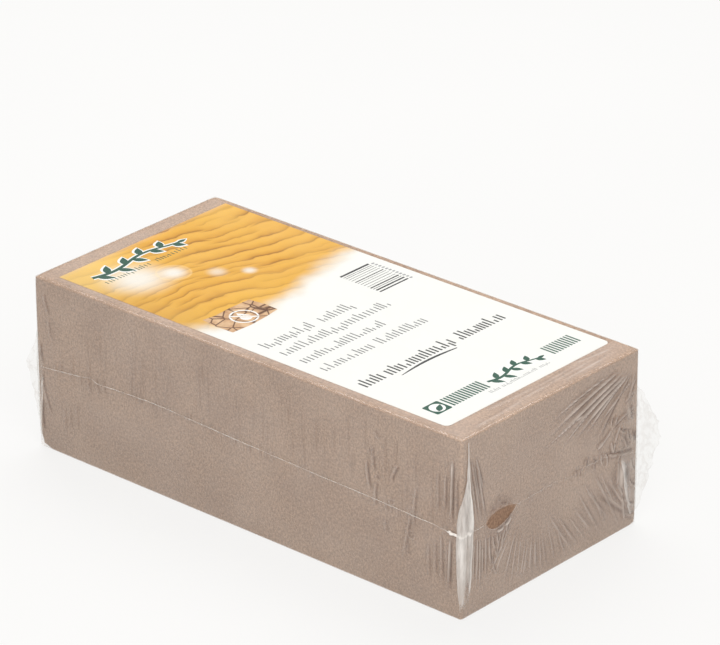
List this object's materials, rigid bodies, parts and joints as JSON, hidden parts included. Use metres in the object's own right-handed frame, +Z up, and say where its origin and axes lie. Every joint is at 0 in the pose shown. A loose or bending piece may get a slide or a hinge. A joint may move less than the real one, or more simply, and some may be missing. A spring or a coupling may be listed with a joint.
{
  "type": "floral foam brick",
  "caption": "Rectangular block of dry floral foam with a printed paper label on top, shrink-wrapped in clear film with a welded seam half way up and gathered film at the corners.",
  "frame": {"origin": "centre of the underside of the wrapped brick, on the surface it lies on", "axes": "+X along the length, to the end with the vent tear; +Y across the width, to the long side where the film is folded; +Z up"},
  "size_m": [0.2445, 0.1216, 0.078],
  "materials": {
    "foam": "matte, fine open-cell foam",
    "label": "coated printed paper",
    "film": "clear glossy shrink film",
    "film_edge": "fused and crumpled film, cloudy"
  },
  "bodies": {
    "root": {"foam_brick": "foam", "paper_label": "label", "film_upper": "film", "film_lower": "film", "seal_bead": "film_edge", "ear_front_right": "film_edge", "ear_front_left": "film_edge", "ear_back_right": "film_edge", "ear_back_left": "film_edge"}
  },
  "joints": []
}
